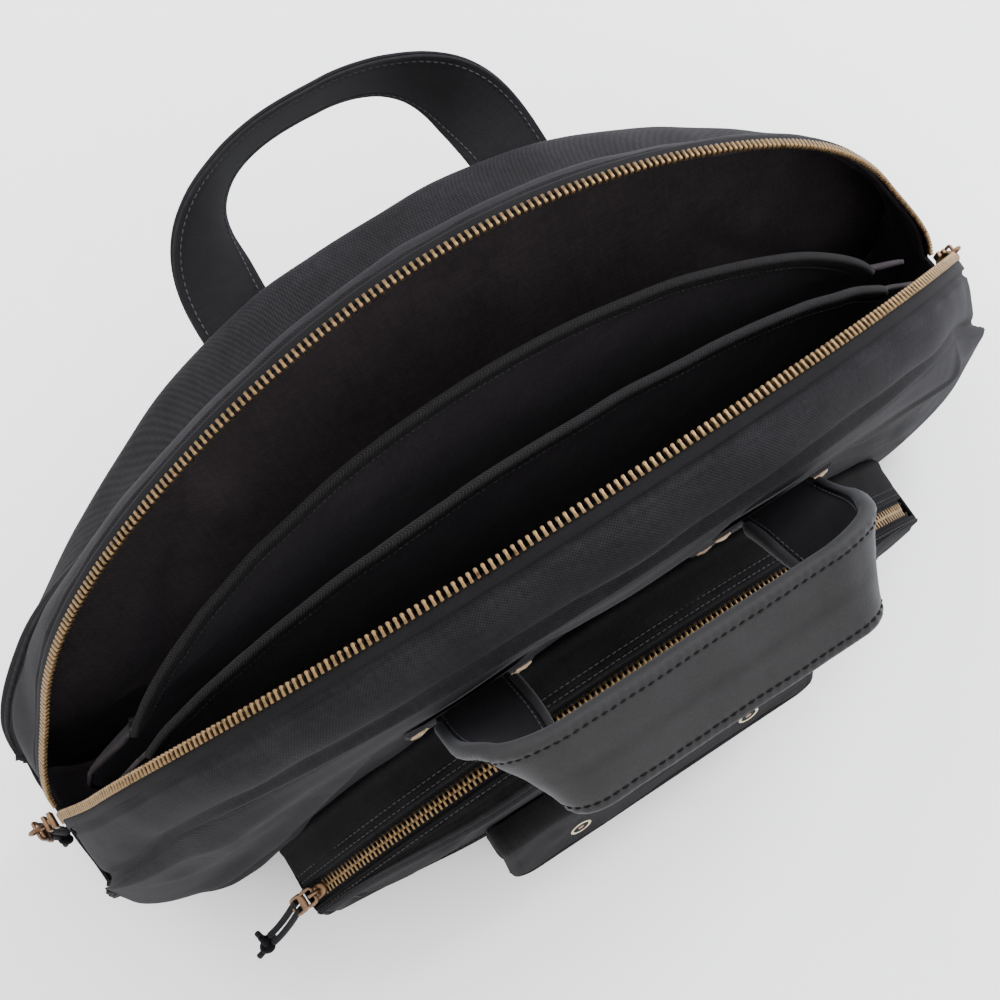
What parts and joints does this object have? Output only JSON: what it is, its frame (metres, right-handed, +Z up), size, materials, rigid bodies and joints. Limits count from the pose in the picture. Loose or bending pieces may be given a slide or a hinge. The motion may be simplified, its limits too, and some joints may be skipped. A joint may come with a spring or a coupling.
{
  "type": "drum stick bag",
  "caption": "Half-moon canvas stick bag with open zipped mouth, two inner dividers, leather-wrapped handle, zipped front pocket and snap pocket.",
  "frame": {"origin": "middle of the flat base, on the surface the bag rests on, below the line between the two ends of the main zip", "axes": "+X along the bag, from its left zip end to its right one; -Y towards the front pocket; +Z up"},
  "size_m": [0.5668, 0.333, 0.3457],
  "materials": {
    "canvas": "charcoal-black waxed plain-weave cotton canvas",
    "lining": "matt black fine twill",
    "twill_binding": "black herringbone tape",
    "zip_tape": "black woven zip tape",
    "antique_brass": "antique brass",
    "antique_copper": "antique copper-tone plating",
    "cord": "black braided cord",
    "grip_leather": "dark grey nubuck leather"
  },
  "bodies": {
    "bag": {"lower_gusset": "canvas", "front_panel": "canvas", "front_top_band": "canvas", "back_panel_lower": "canvas", "front_handle_anchors": "canvas", "pocket_rear_gusset": "canvas", "pocket_front_gusset": "canvas", "pocket_side_gusset": "canvas", "pocket_face": "canvas", "snap_pocket": "canvas", "divider_front": "lining", "divider_back": "lining", "divider_front_binding": "twill_binding", "divider_back_binding": "twill_binding", "front_zip_tape": "zip_tape", "pocket_rear_tape": "zip_tape", "pocket_front_tape": "zip_tape", "front_zip_teeth": "antique_brass", "pocket_rear_teeth": "antique_brass", "pocket_front_teeth": "antique_brass", "snap_studs": "antique_brass", "main_slider_left": "antique_copper", "main_slider_right": "antique_copper", "front_anchor_rivets": "antique_copper"},
    "back_leaf": {"back_panel_upper": "canvas", "back_top_band": "canvas", "back_zip_tape": "zip_tape", "back_zip_teeth": "antique_brass", "back_handle_anchors": "canvas", "back_anchor_rivets": "antique_copper"},
    "front_handle": {"front_handle_strap": "canvas", "front_handle_grip": "grip_leather"},
    "back_handle": {"back_handle_strap": "canvas"},
    "pocket_slider": {"pocket_slider": "antique_copper"},
    "pocket_pull": {"pocket_pull": "antique_copper", "pocket_cord": "cord", "pocket_knot": "cord"},
    "main_pull_left": {"main_pull_left": "antique_copper", "main_cord_left": "cord", "main_knot_left": "cord"},
    "main_pull_right": {"main_pull_right": "antique_copper", "main_cord_right": "cord", "main_knot_right": "cord"},
    "flap": {"snap_flap": "canvas", "snap_caps": "antique_brass"}
  },
  "joints": [
    {"name": "mouth", "type": "hinge", "parent": "bag", "child": "back_leaf", "pos_m": [0, 0.006, 0.11], "axis": [1, 0, 0], "range_deg": [-10, 20]},
    {"name": "front_handle_swing", "type": "hinge", "parent": "bag", "child": "front_handle", "pos_m": [0, -0.0704, 0.258], "axis": [1, 0, 0], "range_deg": [-2, 95]},
    {"name": "back_handle_swing", "type": "hinge", "parent": "back_leaf", "child": "back_handle", "pos_m": [0, 0.12051, 0.24388], "axis": [1, 0, 0], "range_deg": [-66, 22]},
    {"name": "pocket_slider_run", "type": "hinge", "parent": "bag", "child": "pocket_slider", "pos_m": [0, -0.09, -0.068], "axis": [0, 1, 0], "range_deg": [0, 99]},
    {"name": "pocket_pull_swing", "type": "hinge", "parent": "pocket_slider", "child": "pocket_pull", "pos_m": [-0.18159, -0.09, 0.08523], "axis": [0, 1, 0], "range_deg": [0, 150]},
    {"name": "main_pull_left_swing", "type": "hinge", "parent": "bag", "child": "main_pull_left", "pos_m": [-0.276, 0.006, 0.11], "axis": [0, 1, 0], "range_deg": [0, 110]},
    {"name": "main_pull_right_swing", "type": "hinge", "parent": "bag", "child": "main_pull_right", "pos_m": [0.276, 0.006, 0.11], "axis": [0, -1, 0], "range_deg": [0, 110]},
    {"name": "snap_flap_swing", "type": "hinge", "parent": "bag", "child": "flap", "pos_m": [0, -0.1128, 0.0982], "axis": [-1, 0, 0], "range_deg": [0, 85]}
  ]
}
